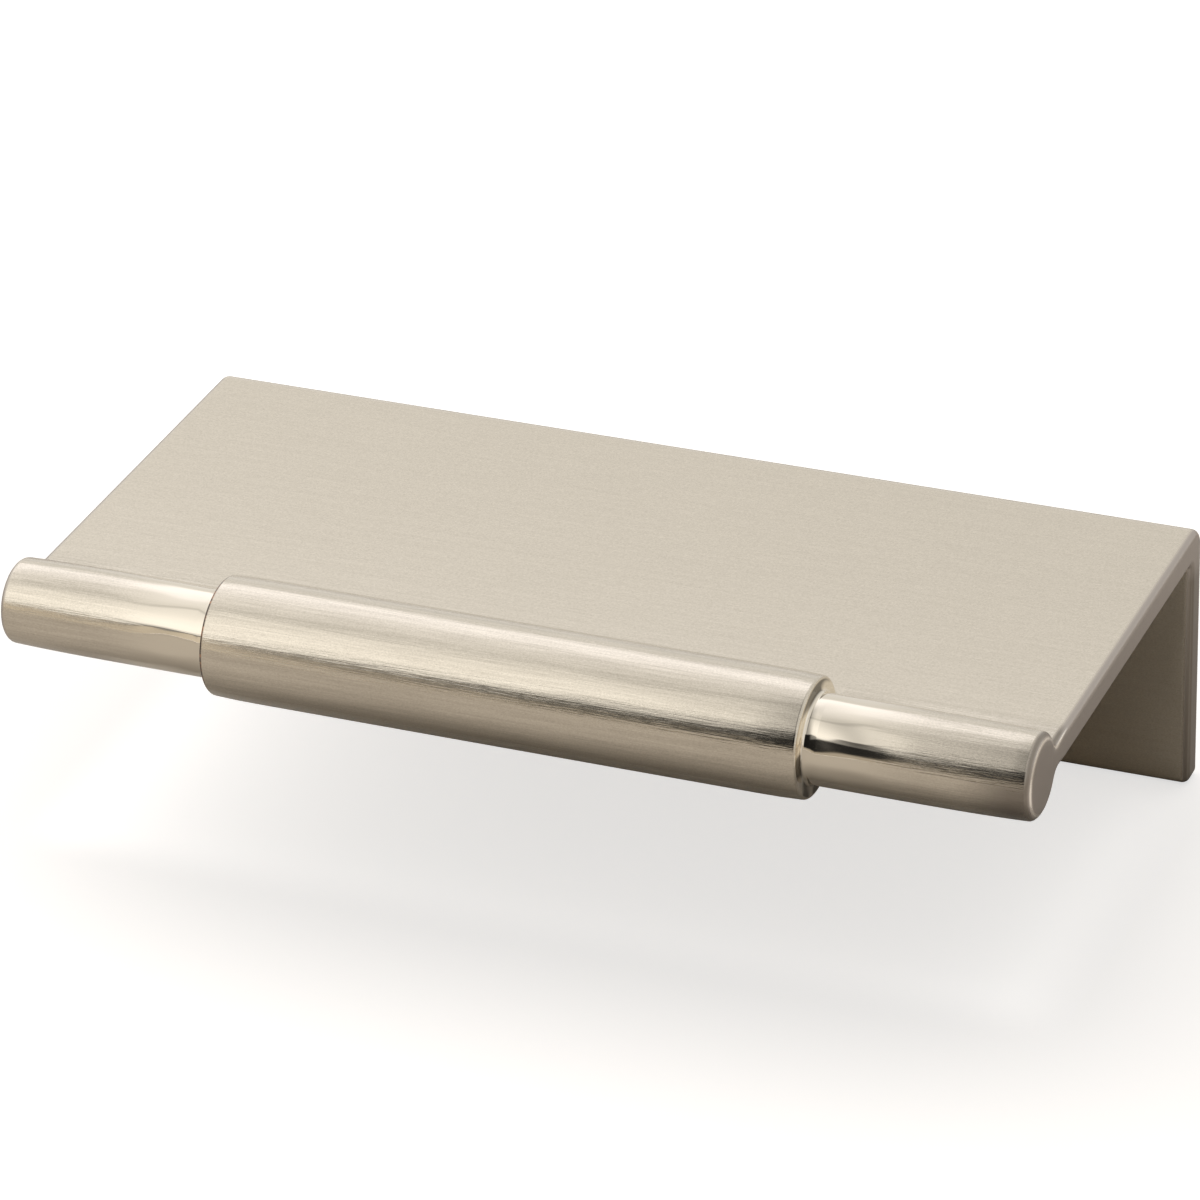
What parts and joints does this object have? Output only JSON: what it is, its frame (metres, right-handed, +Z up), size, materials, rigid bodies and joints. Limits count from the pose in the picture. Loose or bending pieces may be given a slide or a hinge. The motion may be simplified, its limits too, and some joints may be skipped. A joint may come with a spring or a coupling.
{
  "type": "tab pull",
  "caption": "Cabinet tab pull: a flat top plate turned down into a screw-on leg at the back, with a round bar along its front edge that thickens to a sleeve in the middle.",
  "frame": {"origin": "midway between the two screw holes, on the back face of the leg", "axes": "+X along the pull to the right as seen from the front, +Y back into the drawer front, +Z up"},
  "size_m": [0.1016, 0.0538, 0.0314],
  "materials": {
    "satin_nickel": "brushed nickel plate on a zinc die casting"
  },
  "bodies": {
    "root": {"pull_casting": "satin_nickel"}
  },
  "joints": []
}
